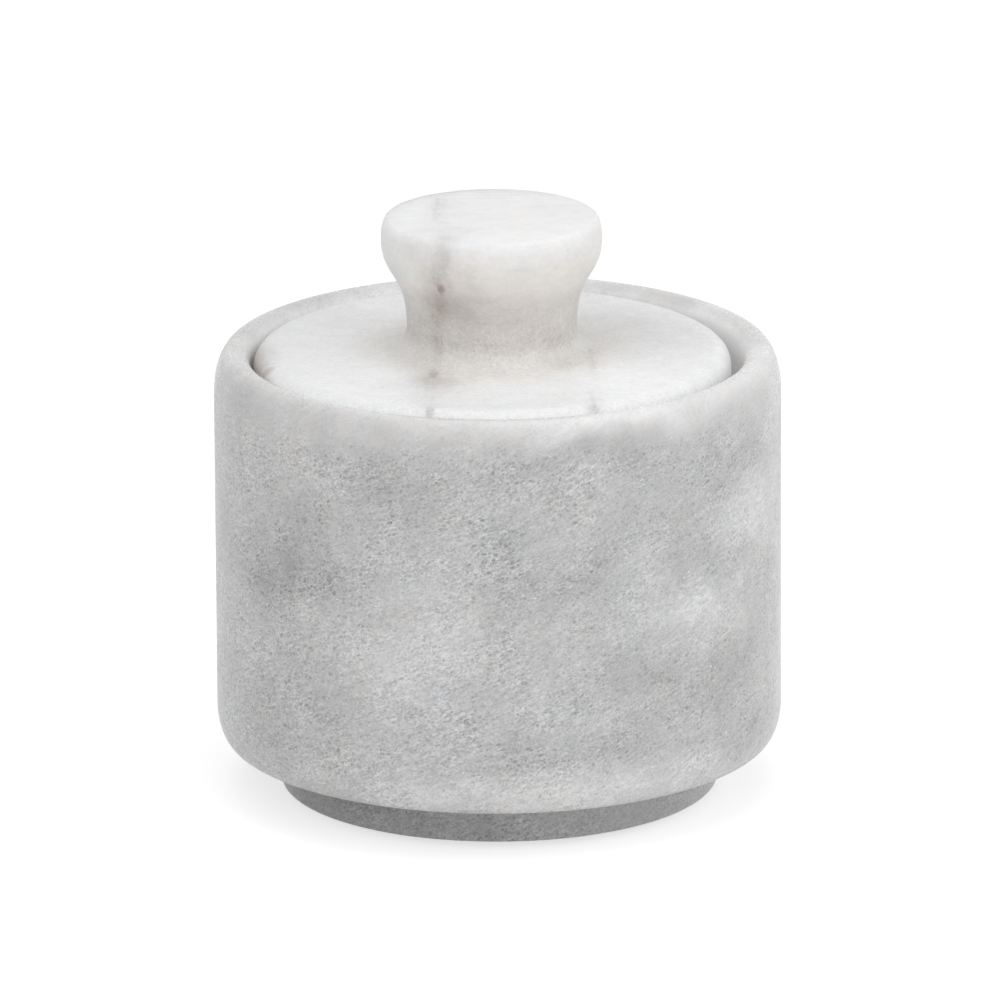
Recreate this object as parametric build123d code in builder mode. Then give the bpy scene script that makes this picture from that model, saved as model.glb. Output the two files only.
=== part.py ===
"""A lidded salt cellar: a stone bowl turned in one piece with its foot, a drop-in stone lid turned in one
piece with its knob, and small rubber bumpers stuck under the foot.

Millimetres, +Z up. The origin is on the table, on the bowl's axis.
"""

import os
from math import cos, radians, sin

from build123d import *

# Bowl, outside
body_diameter = 99.0
body_height = 70.4
lower_edge_run = 2.9
lower_edge_rise = 6.4
rim_edge_drop = 7.5
rim_outer_share = 0.51
foot_diameter = 76.6
foot_height = 8.0
foot_edge_round = 0.6
foot_corner_round = 0.6

# Bowl, inside
rim_wall = 6.3
rim_inner_share = 0.38
seat_ledge_width = 4.6
seat_corner_round = 0.8
ledge_edge_round = 1.2
base_thickness = 15.0
well_floor_round = 14.0

# Lid plate, and how it lies in the mouth
lid_clearance = 1.5
lid_thickness = 9.2
lid_below_rim = 0.2
lid_edge_round = 3.1
lid_underside_round = 1.2
lid_off_centre_share = 0.66
lid_off_centre_angle = 158.0

# Knob
knob_diameter = 38.6
knob_height = 23.7
knob_crown_rise = 3.8
knob_crown_run = 1.2
neck_diameter = 29.7
neck_cove_round = 4.0
flare_pull = 0.41
neck_pull = 0.65

# Rubber bumpers
bumper_diameter = 9.0
bumper_stand = 1.0
bumper_edge_round = 0.4
bumper_inset = 8.5
bumper_count = 4
bumper_start_angle = 45.0

# Radii and heights that follow from these
body_radius = body_diameter / 2
rim_outer_run = rim_outer_share * rim_wall
rim_inner_round = rim_inner_share * rim_wall
foot_radius = foot_diameter / 2
mouth_radius = body_radius - rim_wall
well_radius = mouth_radius - seat_ledge_width
lid_radius = mouth_radius - lid_clearance
knob_radius = knob_diameter / 2
knob_flat_radius = knob_radius - knob_crown_run
neck_radius = neck_diameter / 2

foot_bottom = bumper_stand
body_bottom = foot_bottom + foot_height
rim_top = body_bottom + body_height
well_floor = foot_bottom + base_thickness
lid_top = rim_top - lid_below_rim
seat_height = lid_top - lid_thickness
knob_top = lid_top + knob_height
knob_widest = knob_top - knob_crown_rise
neck_bottom = lid_top + neck_cove_round
grip_height = knob_widest - neck_bottom

# The lid lies off the bowl's axis by a part of its clearance, as a dropped-in lid does
lid_off_centre = lid_off_centre_share * lid_clearance
lid_x = lid_off_centre * cos(radians(lid_off_centre_angle))
lid_y = lid_off_centre * sin(radians(lid_off_centre_angle))


def corner(section, radius, height):
    """The corner of a turned section that lies at this radius and height."""
    return section.vertices().sort_by_distance((radius, height))[0]


# Bowl: foot, body, rim, lid seat and salt well are one turned section
with BuildPart() as bowl:
    with BuildSketch(Plane.XZ) as bowl_section:
        with BuildLine():
            underside = Polyline(
                (0, foot_bottom),
                (foot_radius, foot_bottom),
                (foot_radius, body_bottom),
                (body_radius - lower_edge_run, body_bottom),
            )
            lower_edge = EllipticalCenterArc(
                (body_radius - lower_edge_run, body_bottom + lower_edge_rise),
                lower_edge_run,
                lower_edge_rise,
                start_angle=-90,
                arc_size=90,
            )
            rim_edge = EllipticalCenterArc(
                (body_radius - rim_outer_run, rim_top - rim_edge_drop),
                rim_outer_run,
                rim_edge_drop,
                start_angle=0,
                arc_size=90,
            )
            Line(lower_edge @ 1, rim_edge @ 0)
            Polyline(
                rim_edge @ 1,
                (mouth_radius, rim_top),
                (mouth_radius, seat_height),
                (well_radius, seat_height),
                (well_radius, well_floor),
                (0, well_floor),
                underside @ 0,
            )
        make_face()
        fillet(corner(bowl_section, foot_radius, foot_bottom), foot_edge_round)
        fillet(corner(bowl_section, foot_radius, body_bottom), foot_corner_round)
        fillet(corner(bowl_section, mouth_radius, rim_top), rim_inner_round)
        fillet(corner(bowl_section, mouth_radius, seat_height), seat_corner_round)
        fillet(corner(bowl_section, well_radius, seat_height), ledge_edge_round)
        fillet(corner(bowl_section, well_radius, well_floor), well_floor_round)
    revolve(axis=Axis.Z)

# Lid: a flat plate that drops into the mouth, a cove, a neck and a flared knob with a flat top
lid_plane = Plane((lid_x, lid_y, 0), x_dir=Plane.XZ.x_dir, z_dir=Plane.XZ.z_dir)
lid_axis = Axis((lid_x, lid_y, 0), (0, 0, 1))

with BuildPart() as lid:
    with BuildSketch(lid_plane) as lid_section:
        with BuildLine():
            knob_face = Line((0, knob_top), (knob_flat_radius, knob_top))
            knob_crown = EllipticalCenterArc(
                (knob_flat_radius, knob_widest),
                knob_crown_run,
                knob_crown_rise,
                start_angle=90,
                arc_size=-90,
            )
            Bezier(
                knob_crown @ 1,
                (knob_radius, knob_widest - flare_pull * grip_height),
                (neck_radius, neck_bottom + neck_pull * grip_height),
                (neck_radius, neck_bottom),
            )
            neck_cove = CenterArc(
                (neck_radius + neck_cove_round, neck_bottom),
                neck_cove_round,
                start_angle=180,
                arc_size=90,
            )
            Polyline(
                neck_cove @ 1,
                (lid_radius, lid_top),
                (lid_radius, seat_height),
                (0, seat_height),
                knob_face @ 0,
            )
        make_face()
        fillet(corner(lid_section, lid_radius, lid_top), lid_edge_round)
        fillet(corner(lid_section, lid_radius, seat_height), lid_underside_round)
    revolve(axis=lid_axis)

# Bumpers: round rubber dots between the table and the foot's flat underside
with BuildPart() as foot_bumpers:
    with BuildSketch(Plane.XY):
        with PolarLocations(foot_radius - bumper_inset, bumper_count, bumper_start_angle):
            Circle(bumper_diameter / 2)
    extrude(amount=bumper_stand)
    fillet(foot_bumpers.edges().group_by(Axis.Z)[0], bumper_edge_round)

bowl.part.label = "bowl"
lid.part.label = "lid"
foot_bumpers.part.label = "foot_bumpers"

os.makedirs("parts", exist_ok=True)
export_step(bowl.part, "parts/bowl.step")
export_step(lid.part, "parts/lid.step")
export_step(foot_bumpers.part, "parts/foot_bumpers.step")
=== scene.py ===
from math import ceil, cos, radians, sin, tau

import bmesh
import bpy
from mathutils import Matrix, Vector, noise
from mathutils.geometry import interpolate_bezier


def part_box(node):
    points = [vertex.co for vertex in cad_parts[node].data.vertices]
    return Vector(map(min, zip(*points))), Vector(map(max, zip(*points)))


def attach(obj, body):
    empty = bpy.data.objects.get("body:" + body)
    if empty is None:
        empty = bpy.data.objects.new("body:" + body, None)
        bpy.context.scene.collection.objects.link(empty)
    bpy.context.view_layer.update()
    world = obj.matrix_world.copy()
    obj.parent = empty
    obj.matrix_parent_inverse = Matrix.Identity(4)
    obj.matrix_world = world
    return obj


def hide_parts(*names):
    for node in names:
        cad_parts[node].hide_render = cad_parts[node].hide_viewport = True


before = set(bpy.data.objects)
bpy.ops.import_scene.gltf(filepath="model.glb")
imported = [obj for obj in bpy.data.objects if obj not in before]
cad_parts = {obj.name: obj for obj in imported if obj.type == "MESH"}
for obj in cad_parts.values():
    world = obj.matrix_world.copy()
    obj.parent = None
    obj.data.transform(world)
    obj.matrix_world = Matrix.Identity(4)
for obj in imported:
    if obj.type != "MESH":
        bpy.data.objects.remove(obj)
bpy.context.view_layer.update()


# Bowl: one block of grey sugary marble, turned on a lathe with its foot, its eased rim, the ledge that
# carries the lid and the round salt well. It is honed, not polished, so the crystals show as a fine
# salt-and-pepper grain under a soft sheen, and the stone is clouded with darker and paler drifts.
# Painted on it: shade on the foot, light along the bottom edge and inside the mouth and well, and glints.
mm = 0.001
scene = bpy.context.scene

bowl_low, bowl_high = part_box("bowl")
lid_low, lid_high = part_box("lid")
bowl_axis = Vector((0, 0))
body_radius = min(bowl_high.x, bowl_high.y)
foot_bottom = bowl_low.z
rim_top = bowl_high.z
seat_height = lid_low.z

foot_radius = 38.3 * mm
foot_height = 8.0 * mm
foot_round = 0.6 * mm
lower_edge_run = 2.9 * mm
lower_edge_rise = 6.4 * mm
rim_wall = 6.3 * mm
rim_outer_run = 3.2 * mm
rim_outer_drop = 7.5 * mm
rim_inner_round = 2.4 * mm
seat_ledge = 4.6 * mm
seat_corner_round = 0.8 * mm
ledge_edge_round = 1.2 * mm
base_thickness = 15.0 * mm
well_floor_round = 14.0 * mm
honing_depth = 0.04 * mm

body_bottom = foot_bottom + foot_height
mouth_radius = body_radius - rim_wall
well_radius = mouth_radius - seat_ledge
well_floor = foot_bottom + base_thickness

lathe_steps = 320
ease_steps = 12
run_step = 1.5 * mm
axis_tolerance = 0.0001 * mm


def add_run(points, end):
    """Carry an outline on in a straight line, in short steps."""
    start = points[-1]
    steps = max(1, ceil((end - start).length / run_step))
    for step in range(1, steps + 1):
        points.append(start.lerp(end, step / steps))


def eased_outline(corners):
    """Points of a turned section: corners (radius, height, ease across, ease up) joined by straight runs."""
    points = [Vector(corners[0][:2])]
    for before, here, after in zip(corners, corners[1:], corners[2:]):
        corner = Vector(here[:2])
        ease = Vector(here[2:])
        arriving = (corner - Vector(before[:2])).normalized()
        leaving = (Vector(after[:2]) - corner).normalized()
        ease_in = arriving * abs(arriving.dot(ease))
        ease_out = leaving * abs(leaving.dot(ease))
        add_run(points, corner - ease_in)
        middle = corner - ease_in + ease_out
        for step in range(1, ease_steps + 1):
            turn = radians(90) * step / ease_steps
            points.append(middle - ease_out * cos(turn) + ease_in * sin(turn))
    add_run(points, Vector(corners[-1][:2]))
    return points


def turn_on_lathe(name, outline, axis):
    """A closed mesh turned about an upright axis from an outline that starts and ends on it."""
    shape = bmesh.new()
    angles = [tau * step / lathe_steps for step in range(lathe_steps)]
    rings = []
    for radius, height in outline:
        if radius < axis_tolerance:
            rings.append([shape.verts.new((axis.x, axis.y, height))] * lathe_steps)
            continue
        circle = [(axis.x + radius * cos(angle), axis.y + radius * sin(angle)) for angle in angles]
        rings.append([shape.verts.new((x, y, height)) for x, y in circle])
    for lower, upper in zip(rings, rings[1:]):
        for step in range(lathe_steps):
            after = (step + 1) % lathe_steps
            corners = [lower[step], lower[after], upper[after], upper[step]]
            shape.faces.new(list(dict.fromkeys(corners)))
    bmesh.ops.recalc_face_normals(shape, faces=shape.faces)
    mesh = bpy.data.meshes.new(name)
    shape.to_mesh(mesh)
    shape.free()
    mesh.shade_smooth()
    piece = bpy.data.objects.new(name, mesh)
    scene.collection.objects.link(piece)
    return piece


def hone_by_hand(piece, depth, patch):
    """Take up to a few hundredths of a millimetre off a turned surface, in broad patches, as honing does."""
    mesh = piece.data
    normals = [vertex.normal.copy() for vertex in mesh.vertices]
    for vertex, normal in zip(mesh.vertices, normals):
        rub = 0.5 + 0.5 * noise.noise(vertex.co / patch)
        vertex.co -= normal * depth * max(0.0, min(1.0, rub))
    mesh.update()


bowl_outline = eased_outline([
    (0, foot_bottom),
    (foot_radius, foot_bottom, foot_round, foot_round),
    (foot_radius, body_bottom, foot_round, foot_round),
    (body_radius, body_bottom, lower_edge_run, lower_edge_rise),
    (body_radius, rim_top, rim_outer_run, rim_outer_drop),
    (mouth_radius, rim_top, rim_inner_round, rim_inner_round),
    (mouth_radius, seat_height, seat_corner_round, seat_corner_round),
    (well_radius, seat_height, ledge_edge_round, ledge_edge_round),
    (well_radius, well_floor, well_floor_round, well_floor_round),
    (0, well_floor),
])
bowl = turn_on_lathe("marble_bowl", bowl_outline, bowl_axis)
hone_by_hand(bowl, honing_depth, patch=14 * mm)


def linear(*levels):
    """A colour written as it looks (0 to 1 for each of red, green and blue), as the light it stands for."""
    return (*[((level + 0.055) / 1.055) ** 2.4 for level in levels], 1.0)


def put(tree, kind, inputs=None, **settings):
    """Place a shader node: settings are its options, inputs its sockets by name or number."""
    node = tree.nodes.new(kind)
    for name, value in settings.items():
        setattr(node, name, value)
    for name, value in (inputs or {}).items():
        if isinstance(value, bpy.types.NodeSocket):
            tree.links.new(value, node.inputs[name])
        else:
            node.inputs[name].default_value = value
    return node


def calc(tree, operation, *values):
    """A sum of one, two or three values or sockets."""
    return put(tree, "ShaderNodeMath", dict(enumerate(values)), operation=operation).outputs[0]


def add_up(tree, first, *others):
    """Several values or sockets added together."""
    total = first
    for other in others:
        total = calc(tree, "ADD", total, other)
    return total


def times(tree, first, *others):
    """Several values or sockets multiplied together."""
    product = first
    for other in others:
        product = calc(tree, "MULTIPLY", product, other)
    return product


def fade(tree, value, start, stop, low=0.0, high=1.0):
    """A smooth step from low to high as the value goes from start to stop."""
    inputs = {"Value": value, "From Min": start, "From Max": stop, "To Min": low, "To Max": high}
    return put(tree, "ShaderNodeMapRange", inputs, interpolation_type="SMOOTHSTEP").outputs["Result"]


def swing(tree, cloud, reach):
    """Cloudy noise as a change to both sides of 0."""
    return fade(tree, cloud, 0.25, 0.75, -reach, reach)


def mottle(tree, vector, size, detail=2.0, roughness=0.5):
    """Cloudy noise about the size given: its outputs, from 0 to 1."""
    inputs = {"Vector": vector, "Scale": 1 / size, "Detail": detail, "Roughness": roughness}
    return put(tree, "ShaderNodeTexNoise", inputs).outputs


def in_patch(tree, vector, size, centre=(0, 0, 0), rotation=(0, 0, 0)):
    """The vector as a patch of stone has it, from the patch's centre and in its half sizes."""
    inputs = {"Vector": vector, "Location": centre, "Rotation": rotation, "Scale": size}
    return put(tree, "ShaderNodeMapping", inputs, vector_type="TEXTURE").outputs[0]


def away_from(tree, vector, size, centre, rotation=(0, 0, 0)):
    """How far the vector lies from the centre of a patch, in its half sizes."""
    inside = in_patch(tree, vector, size, centre, rotation)
    return put(tree, "ShaderNodeVectorMath", {0: inside}, operation="LENGTH").outputs["Value"]


def radius_about(tree, vector, axis):
    """How far the vector lies from an upright axis."""
    flat = put(tree, "ShaderNodeVectorMath", {0: vector, 1: (1, 1, 0)}, operation="MULTIPLY").outputs[0]
    inputs = {0: flat, 1: axis.to_3d()}
    return put(tree, "ShaderNodeVectorMath", inputs, operation="DISTANCE").outputs["Value"]


def shift_by(tree, vector, wander, reach):
    """The vector moved about by a cloudy colour, by up to half the reach each way."""
    centred = {0: wander, 1: (0.5, 0.5, 0.5)}
    wander = put(tree, "ShaderNodeVectorMath", centred, operation="SUBTRACT").outputs[0]
    wander = put(tree, "ShaderNodeVectorMath", {0: wander, "Scale": reach}, operation="SCALE").outputs[0]
    return put(tree, "ShaderNodeVectorMath", {0: vector, 1: wander}, operation="ADD").outputs[0]


def stray(tree, vector, size, reach):
    """The vector moved about by noise, so that what is placed with it gets a ragged edge."""
    return shift_by(tree, vector, mottle(tree, vector, size, 3.0)["Color"], reach)


def tone_ramp(tree, value, stops):
    """The colour for a value, between stops (value, colour) from low to high."""
    ramp = put(tree, "ShaderNodeValToRGB", {"Fac": value})
    elements = ramp.color_ramp.elements
    elements[0].position, elements[0].color = stops[0]
    elements[1].position, elements[1].color = stops[-1]
    for position, colour in stops[1:-1]:
        elements.new(position).color = colour
    return ramp.outputs["Color"]


def tint(tree, amount, colour, hue):
    """A colour multiplied by a hue, as far as the amount says."""
    # A colour Mix has its factor and its two colours at sockets 0, 6 and 7, and its result at output 2
    inputs = {0: amount, 6: colour, 7: hue}
    return put(tree, "ShaderNodeMix", inputs, data_type="RGBA", blend_type="MULTIPLY").outputs[2]


def start_group(name, inputs, outputs):
    """A shader node group with named inputs (name: default) and outputs, and its two end nodes."""
    group = bpy.data.node_groups.new(name, "ShaderNodeTree")
    for label, default in inputs.items():
        kind = "NodeSocketVector" if default is None else "NodeSocketFloat"
        socket = group.interface.new_socket(label, in_out="INPUT", socket_type=kind)
        if default is not None:
            socket.default_value = default
    for label in outputs:
        group.interface.new_socket(label, in_out="OUTPUT", socket_type="NodeSocketFloat")
    return group, put(group, "NodeGroupInput").outputs, put(group, "NodeGroupOutput").inputs


def place_group(tree, group, inputs):
    """A shader node group placed in a material: its outputs."""
    return put(tree, "ShaderNodeGroup", inputs, node_tree=group).outputs


def make_crystal_grain():
    """Sugary marble: fine crystals (-1 to 1), dark big ones, pale seams, rare painted glints, tiny relief.
    """
    labels = ["Fine", "Dark", "Seam", "Painted Glint", "Relief"]
    group, given, result = start_group("crystal grain", {"Vector": None, "Crystal Size": 0.4 * mm}, labels)
    finer = 2.4
    size = given["Crystal Size"]
    per_metre = calc(group, "DIVIDE", 1.0, size)
    ragged = put(group, "ShaderNodeTexNoise", {"Vector": given["Vector"], "Scale": per_metre, "Detail": 1.0})
    edge = shift_by(group, given["Vector"], ragged.outputs["Color"], size)

    inputs = {"Vector": edge, "Scale": times(group, per_metre, finer)}
    small = put(group, "ShaderNodeTexVoronoi", inputs).outputs
    small_draw = put(group, "ShaderNodeSeparateColor", {0: small["Color"]}).outputs
    # Painted glints: a few small crystals made bright, for light glancing off their faces
    bright = fade(group, small_draw[2], 0.992, 0.998)
    painted_glint = times(group, bright, fade(group, small["Distance"], 0.2, 0.6, 1.0, 0.0))

    inputs = {"Vector": edge, "Scale": per_metre}
    large = put(group, "ShaderNodeTexVoronoi", inputs).outputs
    large_draw = put(group, "ShaderNodeSeparateColor", {0: large["Color"]}).outputs
    to_seam = put(group, "ShaderNodeTexVoronoi", inputs, feature="DISTANCE_TO_EDGE").outputs["Distance"]
    dark = times(group, calc(group, "POWER", large_draw[1], 2.4), fade(group, to_seam, 0.02, 0.3))

    group.links.new(calc(group, "MULTIPLY_ADD", small_draw[0], 2.0, -1.0), result["Fine"])
    group.links.new(dark, result["Dark"])
    group.links.new(fade(group, to_seam, 0.0, 0.12, 1.0, 0.0), result["Seam"])
    group.links.new(painted_glint, result["Painted Glint"])
    group.links.new(to_seam, result["Relief"])
    return group


def make_stone_clouding():
    """Broad clouding in the block, from about -1 to 1, at two sizes."""
    sizes = {"Cloud Size": 30 * mm, "Mottle Size": 6 * mm}
    group, given, result = start_group("stone clouding", {"Vector": None, **sizes}, ["Cloud", "Mottle"])
    for label in ("Cloud", "Mottle"):
        per_metre = calc(group, "DIVIDE", 1.0, given[f"{label} Size"])
        inputs = {"Vector": given["Vector"], "Scale": per_metre, "Detail": 3.0, "Roughness": 0.55}
        cloud = put(group, "ShaderNodeTexNoise", inputs).outputs["Fac"]
        inputs = {"Value": cloud, "From Min": 0.25, "From Max": 0.75, "To Min": -1.0, "To Max": 1.0}
        group.links.new(put(group, "ShaderNodeMapRange", inputs).outputs["Result"], result[label])
    return group


crystal_grain = make_crystal_grain()
stone_clouding = make_stone_clouding()

# Drifts in the grey stone, the dark ones and then the pale ones, each from left to right, and among the pale
# ones a long band low at the front that is painted light thrown up from the table: angle from the front
# (degrees, right is positive), height, half length, half width, slope (degrees, rising to the right is
# positive) and change of level
drifts_and_painted_light = [
    (-122, 79 * mm, 16 * mm, 5 * mm, 0, -0.055),
    (-72, 50 * mm, 6 * mm, 6 * mm, 0, -0.035),
    (-66, 78 * mm, 8 * mm, 4 * mm, 0, -0.040),
    (-51, 47.5 * mm, 11 * mm, 8 * mm, 35, -0.085),
    (-50, 24 * mm, 16 * mm, 9 * mm, 0, -0.030),
    (-43, 60 * mm, 5 * mm, 4 * mm, 0, -0.040),
    (-43, 34 * mm, 8 * mm, 4 * mm, 0, -0.030),
    (-39, 51 * mm, 10 * mm, 3.5 * mm, 0, -0.030),
    (-38, 79 * mm, 12 * mm, 3 * mm, 0, -0.025),
    (-32, 48 * mm, 7 * mm, 5 * mm, 20, -0.030),
    (-26, 69 * mm, 6 * mm, 3.5 * mm, -10, -0.035),
    (-20, 64 * mm, 6 * mm, 3 * mm, -50, -0.025),
    (-18, 71 * mm, 6 * mm, 4 * mm, 0, -0.025),
    (-6, 35 * mm, 7 * mm, 4 * mm, 0, -0.035),
    (-1, 16 * mm, 6 * mm, 5 * mm, 0, -0.040),
    (3, 58 * mm, 6 * mm, 4 * mm, 10, -0.025),
    (4, 49 * mm, 9 * mm, 4 * mm, 15, -0.020),
    (8, 21 * mm, 7 * mm, 4 * mm, 0, -0.030),
    (8, 15 * mm, 7 * mm, 3 * mm, 0, -0.025),
    (10, 73 * mm, 8 * mm, 3.5 * mm, 0, -0.040),
    (19, 53 * mm, 9 * mm, 5 * mm, 20, -0.045),
    (22, 33 * mm, 6 * mm, 4 * mm, 0, -0.030),
    (25, 74 * mm, 8 * mm, 3.5 * mm, 0, -0.040),
    (28, 21 * mm, 13 * mm, 5 * mm, 25, -0.045),
    (33, 33 * mm, 9 * mm, 5 * mm, 25, -0.035),
    (36, 36 * mm, 6 * mm, 4 * mm, 0, -0.025),
    (40, 57 * mm, 9 * mm, 5 * mm, 60, -0.030),
    (40, 32 * mm, 8 * mm, 4 * mm, 0, -0.030),
    (42, 69 * mm, 7 * mm, 4 * mm, 0, -0.035),
    (43, 79 * mm, 5 * mm, 3 * mm, 0, -0.030),
    (47, 54 * mm, 6 * mm, 4 * mm, 20, -0.030),
    (47, 26 * mm, 6 * mm, 4 * mm, 0, -0.025),
    (53, 49 * mm, 10 * mm, 3.5 * mm, 0, -0.045),
    (55, 66 * mm, 8 * mm, 5 * mm, 20, -0.055),
    (55, 28 * mm, 15 * mm, 7 * mm, 45, -0.065),
    (60, 30 * mm, 5 * mm, 6 * mm, 0, -0.030),
    (64, 66 * mm, 5 * mm, 4 * mm, 0, -0.030),
    (65, 16 * mm, 10 * mm, 6 * mm, 0, -0.075),
    (69, 44 * mm, 6 * mm, 3 * mm, 0, -0.050),
    (72, 27 * mm, 6 * mm, 8 * mm, 0, -0.050),
    (79, 36 * mm, 5 * mm, 8 * mm, 0, -0.035),
    (-52, 72 * mm, 7 * mm, 4 * mm, 0, 0.025),
    (-17, 52 * mm, 7 * mm, 4 * mm, 20, 0.025),
    (-16, 37 * mm, 13 * mm, 8 * mm, 35, 0.050),
    (-14, 11 * mm, 5 * mm, 3.5 * mm, 30, 0.035),
    (9, 42 * mm, 5 * mm, 8 * mm, 0, 0.025),
    # Painted light: a long pale band along the bottom edge, for light thrown up from the table
    (14, 12 * mm, 32 * mm, 4.5 * mm, 0, 0.085),
    (16, 57 * mm, 7 * mm, 5 * mm, 0, 0.020),
    (25, 29 * mm, 6 * mm, 3 * mm, 0, 0.020),
    (28, 55 * mm, 5 * mm, 5 * mm, 30, 0.045),
    (30, 79 * mm, 26 * mm, 3.5 * mm, 0, 0.075),
    (37, 42 * mm, 7 * mm, 6 * mm, 20, 0.030),
    (45, 41 * mm, 10 * mm, 6 * mm, 20, 0.050),
    (57, 57 * mm, 10 * mm, 5 * mm, 10, 0.040),
    (58, 73 * mm, 5 * mm, 3 * mm, 0, 0.015),
    (67, 54 * mm, 7 * mm, 5 * mm, 0, 0.035),
    (75, 78 * mm, 16 * mm, 4 * mm, 0, 0.030),
    (155, 79 * mm, 9 * mm, 6 * mm, 0, 0.070),
]
drift_spread = 1.7


def drift_on_wall(tree, vector, angle, height, length, width, slope, change):
    """A soft cloud at a place on the bowl's wall."""
    turn = radians(angle)
    centre = (body_radius * sin(turn), -body_radius * cos(turn), height)
    size = (length * drift_spread, length * drift_spread, width * drift_spread)
    away = away_from(tree, vector, size, centre, (0, -radians(slope), turn))
    return fade(tree, away, 0.0, 1.0, change, 0.0)


def start_material(name):
    """A material with its principled shader and the place on the piece in metres."""
    material = bpy.data.materials.new(name)
    material.use_nodes = True
    tree = material.node_tree
    shader = tree.nodes["Principled BSDF"]
    place = put(tree, "ShaderNodeTexCoord").outputs["Object"]
    return material, tree, shader.inputs, place


def add_relief(tree, surface, height, strength, depth):
    """Tiny relief on a surface."""
    bump = put(tree, "ShaderNodeBump", {"Height": height, "Strength": strength, "Distance": depth})
    tree.links.new(bump.outputs["Normal"], surface["Normal"])


# The stone's bedding rises to the right, and crystals, fibres and clouds are drawn out along it
bedding_turn = (0, -radians(25), 0)
bedding_draw = (1.35, 1.35, 0.95)
fibre_size = (2.2 * mm, 2.2 * mm, 0.5 * mm)
grey_crystal_size = 0.64 * mm
grey_cloud_sizes = {"Cloud Size": 26 * mm, "Mottle Size": 5 * mm}
stone_ior = 1.49

# Levels of the grey stone, where 0 is black and 1 is white, and what each feature changes there
grey_level = 0.849
fibre_change = 0.036
crystal_change = 0.062
seam_change = 0.05
dark_crystal_changes = (-0.16, -0.09)
front_clouding = {"Cloud": 0.022, "Mottle": 0.024}
back_clouding = {"Cloud": 0.065, "Mottle": 0.035}
# Painted shade on the foot under the body's overhang, from left to right and in the corner under the body
foot_painted_shade = (-0.08, -0.02)
foot_corner_painted_shade = -0.05
# Painted light: the mouth and the well are made paler than the outside, for the light in the gap round the
# lid
inside_painted_light = 0.16
# Painted glints: how much brighter the glinting crystals are made
painted_glint_change = 0.25

# What rubbing changes along the rim: share of grain, level of painted glints, roughness, share of relief
rubbed_grain = -0.68
rubbed_painted_glint = -0.2
rubbed_roughness = -0.1
rubbed_relief = -0.8
inside_roughness = 0.3

grey_tones = [
    (0.45, linear(0.445, 0.450, 0.460)),
    (0.62, linear(0.619, 0.620, 0.622)),
    (0.75, linear(0.751, 0.751, 0.752)),
    (0.88, linear(0.880, 0.880, 0.880)),
    (1.00, linear(0.997, 0.996, 0.997)),
]
cool_to_warm = [(0.35, (0.990, 0.994, 1.000, 1)), (0.65, (1.000, 0.993, 0.990, 1))]


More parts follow.
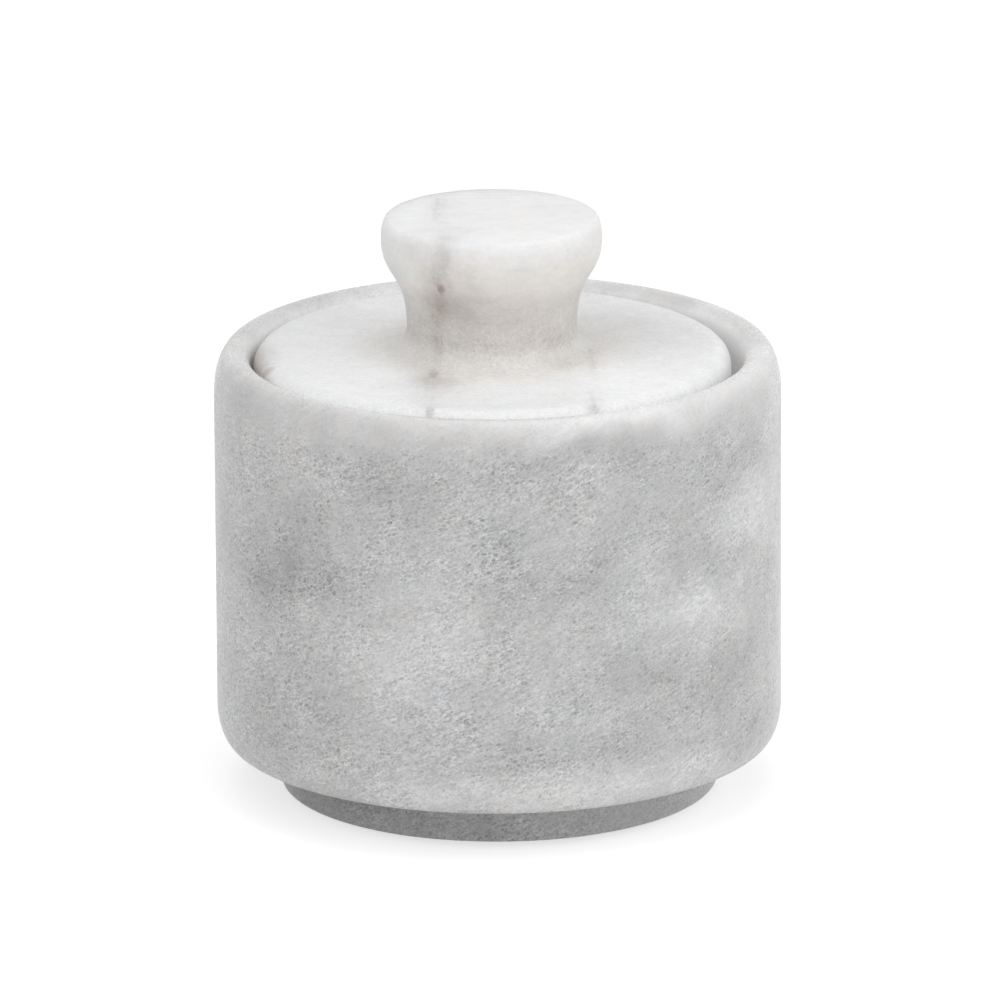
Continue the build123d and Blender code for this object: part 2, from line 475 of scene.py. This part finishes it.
def make_grey_marble():
    """Honed grey marble: drift, clouds, grain rubbed smooth at the rim, painted shade, light and glints."""
    material, tree, surface, place = start_material("grey marble")
    across, depth, height = put(tree, "ShaderNodeSeparateXYZ", {0: place}).outputs
    radius = radius_about(tree, place, bowl_axis)
    bedding = in_patch(tree, place, bedding_draw, rotation=bedding_turn)

    # The rim that hands rub smooth, the mouth and the well inside, and the foot
    rubbed = fade(tree, height, rim_top - 9 * mm, rim_top - 2 * mm)
    inside = times(
        tree,
        fade(tree, radius, mouth_radius + 1.8 * mm, mouth_radius + 0.2 * mm),
        fade(tree, height, well_floor - 4 * mm, well_floor - 2 * mm),
        fade(tree, height, rim_top + 0.5 * mm, rim_top - 3 * mm),
    )
    foot = fade(tree, height, body_bottom + 1.5 * mm, body_bottom - 0.5 * mm)

    # Crystals and fibres: darkest in the dark drifts, thick here and thin there, and quieter to the right
    strayed = stray(tree, place, size=9 * mm, reach=12 * mm)
    drifting_and_painted_light = add_up(tree, *[drift_on_wall(tree, strayed, *drift) for drift in drifts_and_painted_light])
    grain = place_group(tree, crystal_grain, {"Vector": bedding, "Crystal Size": grey_crystal_size})
    drawn = in_patch(tree, place, fibre_size, rotation=bedding_turn)
    fibre = mottle(tree, drawn, size=1.0, detail=1.0)["Fac"]
    crystals = add_up(
        tree,
        swing(tree, fibre, fibre_change),
        times(tree, grain["Fine"], crystal_change),
        times(tree, grain["Dark"], fade(tree, drifting_and_painted_light, -0.07, 0.04, *dark_crystal_changes)),
        times(tree, grain["Seam"], seam_change),
    )
    gathered = fade(tree, mottle(tree, bedding, size=7 * mm)["Fac"], 0.3, 0.7, low=0.65, high=1.25)
    quiet = fade(tree, across, 2 * mm, 28 * mm, low=0.93, high=0.745)
    unrubbed = calc(tree, "MULTIPLY_ADD", rubbed, rubbed_grain, 1.0)

    clouds = place_group(tree, stone_clouding, {"Vector": bedding, **grey_cloud_sizes})
    clouding = []
    for label in ("Cloud", "Mottle"):
        strength = fade(tree, depth, -15 * mm, 20 * mm, front_clouding[label], back_clouding[label])
        clouding.append(times(tree, clouds[label], strength))
    level = add_up(
        tree,
        drifting_and_painted_light,
        times(tree, crystals, gathered, quiet, unrubbed),
        *clouding,
        # Painted shade on the foot: darker to the left, and darkest in the corner right under the body
        times(tree, foot, fade(tree, across, -foot_radius, foot_radius, *foot_painted_shade)),
        times(tree, foot, fade(tree, height, body_bottom - 4 * mm, body_bottom, 0.0, foot_corner_painted_shade)),
        # Painted light inside the mouth and the well
        times(tree, inside, inside_painted_light),
        # Painted glints, fewer on the rubbed rim
        times(tree, grain["Painted Glint"], calc(tree, "MULTIPLY_ADD", rubbed, rubbed_painted_glint, painted_glint_change)),
        grey_level,
    )
    hue = tone_ramp(tree, mottle(tree, place, size=13 * mm, detail=3.0)["Fac"], cool_to_warm)
    outside = calc(tree, "SUBTRACT", 1.0, inside)
    tree.links.new(tint(tree, outside, tone_ramp(tree, level, grey_tones), hue), surface["Base Color"])

    rough = fade(tree, grain["Fine"], -1.0, 1.0, low=0.38, high=0.28)
    rough = calc(tree, "MULTIPLY_ADD", rubbed, rubbed_roughness, rough)
    tree.links.new(calc(tree, "MULTIPLY_ADD", inside, inside_roughness, rough), surface["Roughness"])
    relief = times(tree, grain["Relief"], calc(tree, "MULTIPLY_ADD", rubbed, rubbed_relief, 1.0))
    add_relief(tree, surface, relief, strength=0.25, depth=0.05 * mm)
    surface["IOR"].default_value = stone_ior
    surface["Specular IOR Level"].default_value = 0.38
    surface["Subsurface Weight"].default_value = 1.0
    surface["Subsurface Radius"].default_value = (1.0, 0.9, 0.8)
    surface["Subsurface Scale"].default_value = 4.0 * mm
    return material


bowl.data.materials.append(make_grey_marble())
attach(bowl, "bowl")
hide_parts("bowl")


# Foot bumpers: four small flat discs of grey rubber with eased edges, moulded, and stuck under the foot so
# that the stone neither slides nor scratches the table.
bumper_low, bumper_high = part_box("foot_bumpers")
bumper_radius = 4.5 * mm
bumper_round = 0.4 * mm
bumper_top_round = 0.1 * mm
bumper_circle = 29.8 * mm
bumper_angles = [45, 135, 225, 315]
dust_size = 0.4 * mm
rubber_tones = [(0.3, linear(0.70, 0.70, 0.69)), (0.7, linear(0.78, 0.78, 0.77))]


def make_bumper_rubber():
    """Matt grey rubber with fine dust on it."""
    material, tree, surface, place = start_material("bumper rubber")
    dust = mottle(tree, place, dust_size, detail=3.0, roughness=0.6)["Fac"]
    tree.links.new(tone_ramp(tree, dust, rubber_tones), surface["Base Color"])
    tree.links.new(fade(tree, dust, 0.3, 0.7, low=0.65, high=0.8), surface["Roughness"])
    add_relief(tree, surface, dust, strength=0.3, depth=0.03 * mm)
    return material


bumper_outline = eased_outline([
    (0, bumper_low.z),
    (bumper_radius, bumper_low.z, bumper_round, bumper_round),
    (bumper_radius, bumper_high.z, bumper_top_round, bumper_top_round),
    (0, bumper_high.z),
])
bumper_rubber = make_bumper_rubber()
for number, angle in enumerate(bumper_angles, start=1):
    centre = Vector((bumper_circle * cos(radians(angle)), bumper_circle * sin(radians(angle))))
    bumper = turn_on_lathe(f"foot_bumper_{number}", bumper_outline, centre)
    bumper.data.materials.append(bumper_rubber)
    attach(bumper, "bowl")
    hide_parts("foot_bumpers")


# Lid: one block of whiter marble, turned with its neck and flared knob. It drops loose into the mouth and
# rests on the ledge. A grey-brown vein runs down through knob, neck and plate, with rusty spots where it
# holds iron.
# Painted on it: shade round the neck and at the plate's left edge, the knob's shadow, light on the knob's
# left
lid_axis = (lid_low + lid_high).xy / 2
lid_top = rim_top - 0.2 * mm
lid_radius = min(lid_high.x - lid_low.x, lid_high.y - lid_low.y) / 2
lid_edge_round = 3.1 * mm
lid_underside_round = 1.2 * mm
knob_top = lid_high.z
knob_radius = 19.3 * mm
knob_crown_run = 1.2 * mm
knob_crown_rise = 3.8 * mm
neck_radius = 14.85 * mm
neck_cove = 4.0 * mm
knob_widest = knob_top - knob_crown_rise
neck_bottom = lid_top + neck_cove
grip_height = knob_widest - neck_bottom
flare_pull = 0.41 * grip_height
neck_pull = 0.65 * grip_height
grip_steps = 40

knob_outline = eased_outline([
    (0, knob_top),
    (knob_radius, knob_top, knob_crown_run, knob_crown_rise),
    (knob_radius, knob_widest),
])
grip_outline = interpolate_bezier(
    (knob_radius, knob_widest),
    (knob_radius, knob_widest - flare_pull),
    (neck_radius, neck_bottom + neck_pull),
    (neck_radius, neck_bottom),
    grip_steps,
)
plate_outline = eased_outline([
    (neck_radius, neck_bottom),
    (neck_radius, lid_top, neck_cove, neck_cove),
    (lid_radius, lid_top, lid_edge_round, lid_edge_round),
    (lid_radius, seat_height, lid_underside_round, lid_underside_round),
    (0, seat_height),
])
lid_outline = [*knob_outline[:-1], *[point.xy for point in grip_outline[1:-1]], *plate_outline[1:]]
lid = turn_on_lathe("marble_lid", lid_outline, lid_axis)
hone_by_hand(lid, honing_depth, patch=12 * mm)


def make_stone_vein():
    """An upright vein across the block: its broken core, and the stained stone on both sides of it."""
    values = {"Place": 0.0, "Lean": 0.0, "Core": 0.8 * mm, "Stain": 3 * mm}
    group, given, result = start_group("stone vein", {"Vector": None, **values}, ["Core", "Stain"])
    across, _, height = put(group, "ShaderNodeSeparateXYZ", {0: given["Vector"]}).outputs
    drawn = put(group, "ShaderNodeMapping", {"Vector": given["Vector"], "Scale": (1, 0.35, 1)}).outputs[0]
    bend = mottle(group, drawn, size=8 * mm)["Fac"]
    fray = mottle(group, drawn, size=0.9 * mm, roughness=0.6)["Fac"]
    off = add_up(
        group,
        across,
        times(group, height, given["Lean"], -1.0),
        fade(group, bend, 0.2, 0.8, -0.7 * mm, 0.7 * mm),
        fade(group, fray, 0.2, 0.8, -0.6 * mm, 0.6 * mm),
    )
    off = calc(group, "ABSOLUTE", calc(group, "SUBTRACT", off, given["Place"]))
    strength = mottle(group, drawn, size=5 * mm)["Fac"]
    broken = mottle(group, drawn, size=0.6 * mm, roughness=0.7)["Fac"]
    core = times(
        group,
        fade(group, calc(group, "DIVIDE", off, given["Core"]), 0.0, 1.0, 1.0, 0.0),
        fade(group, strength, 0.35, 0.62, 0.1, 1.0),
        fade(group, broken, 0.3, 0.7, 0.3, 1.2),
    )
    stain = fade(group, calc(group, "DIVIDE", off, given["Stain"]), 0.0, 1.0, 1.0, 0.0)
    group.links.new(core, result["Core"])
    group.links.new(times(group, stain, fade(group, broken, 0.3, 0.7, 0.6, 1.1)), result["Stain"])
    return group


stone_vein = make_stone_vein()
main_vein_place = {"Place": -16.9 * mm, "Lean": 0.07, "Core": 2.0 * mm, "Stain": 5 * mm}
side_vein_place = {"Place": 16.6 * mm, "Lean": 0.0, "Core": 0.9 * mm, "Stain": 3 * mm}

# Rusty spots on the veins and the plate's left edge, and painted shade there: place (x, y, z), half size,
# how dark
rust_and_painted_shade = [
    ((-8.6 * mm, -15.5 * mm, 102.2 * mm), (2.6 * mm, 4.5 * mm, 3.0 * mm), 0.05),
    ((-9.4 * mm, -16.0 * mm, 97.5 * mm), (2.2 * mm, 3.0 * mm, 5.0 * mm), 0.025),
    ((-9.7 * mm, -15.3 * mm, 94.2 * mm), (0.7 * mm, 2.0 * mm, 1.2 * mm), 0.18),
    ((-9.8 * mm, -13.8 * mm, 90.5 * mm), (1.6 * mm, 2.5 * mm, 4.5 * mm), 0.05),
    ((-10.6 * mm, -12.4 * mm, 83.0 * mm), (1.4 * mm, 2.5 * mm, 3.0 * mm), 0.05),
    ((-11.1 * mm, -16.5 * mm, 79.2 * mm), (1.0 * mm, 2.6 * mm, 1.2 * mm), 0.11),
    ((-10.6 * mm, -21.0 * mm, 79.2 * mm), (4.0 * mm, 7.0 * mm, 3.0 * mm), 0.035),
    ((-11.8 * mm, -38.2 * mm, 78.6 * mm), (0.9 * mm, 2.5 * mm, 1.6 * mm), 0.12),
    ((-39.8 * mm, -11.1 * mm, 78.3 * mm), (1.3 * mm, 1.3 * mm, 2.2 * mm), 0.10),
    # Painted shade: a broad dark patch along the plate's left edge, where the lid's edge is shaded
    ((-42.5 * mm, -5.0 * mm, 76.5 * mm), (5.0 * mm, 15.0 * mm, 4.5 * mm), 0.25),
    ((16.6 * mm, -36.5 * mm, 78.8 * mm), (1.8 * mm, 1.6 * mm, 1.2 * mm), 0.06),
]

# Grey clouds and painted light on the white stone: place (x, y, z), half size, how dark (below 0 for paler)
clouds_and_painted_light = [
    ((-8.5 * mm, -14.5 * mm, 92.0 * mm), (8 * mm, 8 * mm, 7 * mm), 0.085),
    ((-14.0 * mm, -21.5 * mm, 79.2 * mm), (12 * mm, 5 * mm, 4 * mm), 0.045),
    ((-10.0 * mm, -24.0 * mm, 79.2 * mm), (5 * mm, 7 * mm, 4 * mm), 0.050),
    ((12.0 * mm, -10.5 * mm, 82.0 * mm), (8 * mm, 6 * mm, 4 * mm), 0.050),
    ((-28.0 * mm, 22.0 * mm, 79.2 * mm), (12 * mm, 10 * mm, 4 * mm), 0.030),
    # Painted shadow of the knob on the plate, here and in the last line
    ((18.0 * mm, 17.0 * mm, 79.2 * mm), (10 * mm, 9 * mm, 4 * mm), 0.045),
    ((-11.0 * mm, -12.0 * mm, 101.5 * mm), (9 * mm, 12 * mm, 5 * mm), 0.040),
    # Painted light: a paler patch on the knob's left side
    ((-19.0 * mm, -3.0 * mm, 95.0 * mm), (8 * mm, 14 * mm, 9 * mm), -0.080),
    # Painted shadow of the knob on the plate at its right
    ((27.0 * mm, 4.0 * mm, 79.2 * mm), (16 * mm, 20 * mm, 4 * mm), 0.080),
]
rust_and_shade_core = 0.2
cloud_and_light_core = 0.0
spot_end = 1.3


def soft_spot_at(tree, vector, centre, size, depth, core):
    """A soft-edged spot about a place in the block, full up to its core and gone a little past its size."""
    return fade(tree, away_from(tree, vector, size, centre), core, spot_end, depth, 0.0)


white_crystal_size = 0.9 * mm
white_cloud_sizes = {"Cloud Size": 22 * mm, "Mottle Size": 3 * mm}
streak_size = (8 * mm, 0.9 * mm, 0.9 * mm)

# Levels of the white stone, and what each feature changes there
white_level = 0.953
streak_change = 0.009
plate_frost = 0.022
knob_frost = 0.008
neck_frost = 0.015
cove_frost = 0.006
seam_frost_share = 0.4
white_dark_crystal_change = -0.014
white_cloud_change = 0.018
white_mottle_change = 0.014
main_core_depth = 0.06
main_stain_depth = 0.018
side_core_depth = 0.095
side_stain_depth = 0.025
neck_stain_and_shade = 0.075
cove_painted_shade = 0.016

white_tones = [
    (0.50, linear(0.510, 0.460, 0.430)),
    (0.75, linear(0.760, 0.738, 0.720)),
    (0.86, linear(0.864, 0.860, 0.859)),
    (0.92, linear(0.919, 0.919, 0.920)),
    (1.00, linear(0.998, 0.998, 1.000)),
]
cream_hue = (1.0, 0.972, 0.938, 1)


def make_white_marble():
    """Honed white marble: veins, rusty spots, grey clouds, painted shade and light, frosty plate, creamy
    neck.
    """
    material, tree, surface, place = start_material("white marble")
    ragged = stray(tree, place, size=1.2 * mm, reach=1.4 * mm)
    billowed = stray(tree, place, size=6 * mm, reach=9 * mm)
    depth, height = put(tree, "ShaderNodeSeparateXYZ", {0: billowed}).outputs[1:]
    cove_height = put(tree, "ShaderNodeSeparateXYZ", {0: ragged}).outputs["Z"]
    radius = radius_about(tree, ragged, lid_axis)

    # The neck, greyer from a stain and from painted shade under the knob, the cove at its foot with painted
    # shade, the plate's front half, and the creamy stone round the neck
    neck = times(
        tree,
        fade(tree, radius, neck_radius + 4 * mm, neck_radius + 0.5 * mm),
        fade(tree, height, knob_widest + 2 * mm, knob_widest - 14 * mm),
        fade(tree, cove_height, lid_top + 1.5 * mm, lid_top + 5 * mm),
    )
    cove = times(
        tree,
        fade(tree, radius, neck_radius + 10 * mm, neck_radius + 2.5 * mm),
        fade(tree, cove_height, lid_top + 6 * mm, lid_top + 2.5 * mm),
    )
    plate_front = times(
        tree,
        fade(tree, height, lid_top + 6 * mm, lid_top + 1 * mm),
        fade(tree, depth, 4 * mm, -6 * mm),
    )
    cream = times(
        tree,
        fade(tree, radius, lid_radius - 14 * mm, neck_radius + 4 * mm),
        fade(tree, height, knob_top + 1 * mm, knob_top - 7 * mm),
    )

    main_vein = place_group(tree, stone_vein, {"Vector": place, **main_vein_place})
    side_vein = place_group(tree, stone_vein, {"Vector": place, **side_vein_place})
    darker = add_up(
        tree,
        times(tree, main_vein["Core"], main_core_depth),
        times(tree, main_vein["Stain"], main_stain_depth),
        times(tree, side_vein["Core"], plate_front, side_core_depth),
        times(tree, side_vein["Stain"], plate_front, side_stain_depth),
        # The neck is greyer partly from a stain in the stone, partly from painted shade under the knob
        times(tree, neck, neck_stain_and_shade),
        # Painted shade in the cove round the neck's foot
        times(tree, cove, cove_painted_shade),
        *[soft_spot_at(tree, billowed, *cloud, cloud_and_light_core) for cloud in clouds_and_painted_light],
        *[soft_spot_at(tree, ragged, *spot, rust_and_shade_core) for spot in rust_and_painted_shade],
    )

    grain = place_group(tree, crystal_grain, {"Vector": place, "Crystal Size": white_crystal_size})
    clouds = place_group(tree, stone_clouding, {"Vector": place, **white_cloud_sizes})
    streaks = mottle(tree, in_patch(tree, place, streak_size), size=1.0)["Fac"]
    frost = add_up(
        tree,
        fade(tree, height, lid_top + 2 * mm, lid_top + 10 * mm, plate_frost, knob_frost),
        times(tree, neck, neck_frost),
        times(tree, cove, cove_frost),
    )
    paler = add_up(
        tree,
        swing(tree, streaks, streak_change),
        times(tree, grain["Fine"], frost),
        times(tree, grain["Seam"], frost, seam_frost_share),
        times(tree, grain["Dark"], white_dark_crystal_change),
        times(tree, clouds["Cloud"], white_cloud_change),
        times(tree, clouds["Mottle"], white_mottle_change),
        white_level,
    )
    level = calc(tree, "SUBTRACT", paler, darker)
    tree.links.new(tint(tree, cream, tone_ramp(tree, level, white_tones), cream_hue), surface["Base Color"])

    tree.links.new(fade(tree, grain["Fine"], -1.0, 1.0, low=0.40, high=0.34), surface["Roughness"])
    add_relief(tree, surface, grain["Relief"], strength=0.08, depth=0.04 * mm)
    surface["IOR"].default_value = stone_ior
    surface["Subsurface Weight"].default_value = 1.0
    surface["Subsurface Radius"].default_value = (1.0, 0.92, 0.85)
    surface["Subsurface Scale"].default_value = 8.0 * mm
    return material


lid.data.materials.append(make_white_marble())
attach(lid, "lid")
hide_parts("lid")


# Table and light: a wide sheet of matt white board under the bumpers, and five square soft boxes, overhead,
# in front and on the right, in a room with white walls. Board and walls look white to the camera and in
# reflections, the board keeps the shadow, and from beneath it is clear.
board_reach = 4.0
# The board lies a hair under the bumpers, so that their faces and the board's don't share a plane
board_top = -0.02 * mm
board_colour = (0.74, 0.74, 0.74, 1)
seen_board_colour = (0.55, 0.55, 0.55, 1)
seen_board_glow = 0.68
wall_light = 0.16
seen_wall_light = 1.0
white = (1, 1, 1, 1)


def is_seen(tree):
    """1 for what the camera sees directly, in a reflection or through glass."""
    path = put(tree, "ShaderNodeLightPath").outputs
    seen = calc(tree, "MAXIMUM", path["Is Camera Ray"], path["Is Glossy Ray"])
    return calc(tree, "MAXIMUM", seen, path["Is Transmission Ray"])


def make_white_board():
    """Matt board that looks white but for the shadow on it, and is clear from beneath."""
    material = bpy.data.materials.new("white board")
    material.use_nodes = True
    tree = material.node_tree
    tree.nodes.clear()
    plain = put(tree, "ShaderNodeBsdfDiffuse", {"Color": board_colour})
    shaded = put(tree, "ShaderNodeBsdfDiffuse", {"Color": seen_board_colour})
    glow = put(tree, "ShaderNodeEmission", {"Color": white, "Strength": seen_board_glow})
    seen = put(tree, "ShaderNodeAddShader", {0: shaded.outputs[0], 1: glow.outputs[0]})
    top = put(tree, "ShaderNodeMixShader", {0: is_seen(tree), 1: plain.outputs[0], 2: seen.outputs[0]})
    beneath = put(tree, "ShaderNodeNewGeometry").outputs["Backfacing"]
    clear = put(tree, "ShaderNodeBsdfTransparent")
    board = put(tree, "ShaderNodeMixShader", {0: beneath, 1: top.outputs[0], 2: clear.outputs[0]})
    put(tree, "ShaderNodeOutputMaterial", {"Surface": board.outputs[0]})
    return material


board_corners = [
    (-board_reach, -board_reach, board_top),
    (board_reach, -board_reach, board_top),
    (board_reach, board_reach, board_top),
    (-board_reach, board_reach, board_top),
]
board_mesh = bpy.data.meshes.new("white_board")
board_mesh.from_pydata(board_corners, [], [(0, 1, 2, 3)])
board_mesh.materials.append(make_white_board())
board = bpy.data.objects.new("white_board", board_mesh)
scene.collection.objects.link(board)

walls = bpy.data.worlds.new("white walls")
walls.use_nodes = True
scene.world = walls
room = walls.node_tree
room.nodes.clear()
dim = put(room, "ShaderNodeBackground", {"Color": white, "Strength": wall_light})
bright = put(room, "ShaderNodeBackground", {"Color": white, "Strength": seen_wall_light})
either = put(room, "ShaderNodeMixShader", {0: is_seen(room), 1: dim.outputs[0], 2: bright.outputs[0]})
put(room, "ShaderNodeOutputWorld", {"Surface": either.outputs[0]})

# Soft boxes: name, turn from the front to the right and rise above the table (degrees), and watts
soft_boxes = [
    ("overhead soft box", 0, 90, 5.8),
    ("right front soft box", 45, 45, 2.8),
    ("left front soft box", -45, 45, 5.0),
    ("low front soft box", 0, 25, 2.4),
    ("low right soft box", 90, 25, 4.9),
]
lamp_aim = Vector((0, 0, 50 * mm))
lamp_distance = 1.3
lamp_side = 1.0


def hang_soft_box(name, turn, rise, watts):
    """A square soft box that points at the middle of the object."""
    lamp = bpy.data.lights.new(name, "AREA")
    lamp.shape = "SQUARE"
    lamp.size = lamp_side
    lamp.energy = watts
    level = Vector((sin(radians(turn)), -cos(radians(turn)), 0)) * cos(radians(rise))
    away = lamp_distance * (level + Vector((0, 0, sin(radians(rise)))))
    box = bpy.data.objects.new(name, lamp)
    box.location = lamp_aim + away
    box.rotation_euler = (lamp_aim - box.location).to_track_quat("-Z", "Y").to_euler()
    box.visible_glossy = False
    scene.collection.objects.link(box)


for soft_box in soft_boxes:
    hang_soft_box(*soft_box)


# Camera: a long lens a good two metres away, straight at the front and looking down a little over the rim.
# It is rolled by a hair and shifted, so that the object lies in the frame as it does in the photograph.
camera_height_angle = 16.57
camera_distance = 2.376
camera_roll = 0.30
aim_height = 50.5 * mm
lens_length = 489.1
film_width = 36
frame_shift = (0.0018, 0.0058)
sight_limit = 20

rise = radians(camera_height_angle)
roll = radians(camera_roll)
back = Vector((0, -cos(rise), sin(rise)))
upright = Vector((0, sin(rise), cos(rise)))
level_right = Vector((1, 0, 0))
right = level_right * cos(roll) - upright * sin(roll)
up = level_right * sin(roll) + upright * cos(roll)
lens = bpy.data.cameras.new("camera")
lens.lens = lens_length
lens.sensor_width = film_width
lens.shift_x, lens.shift_y = frame_shift
lens.clip_end = sight_limit
camera = bpy.data.objects.new("camera", lens)
camera_place = Vector((0, 0, aim_height)) + back * camera_distance
camera_turn = Matrix((right, up, back)).transposed().to_4x4()
camera.matrix_world = Matrix.Translation(camera_place) @ camera_turn
scene.collection.objects.link(camera)
scene.camera = camera
scene.view_settings.view_transform = "Standard"
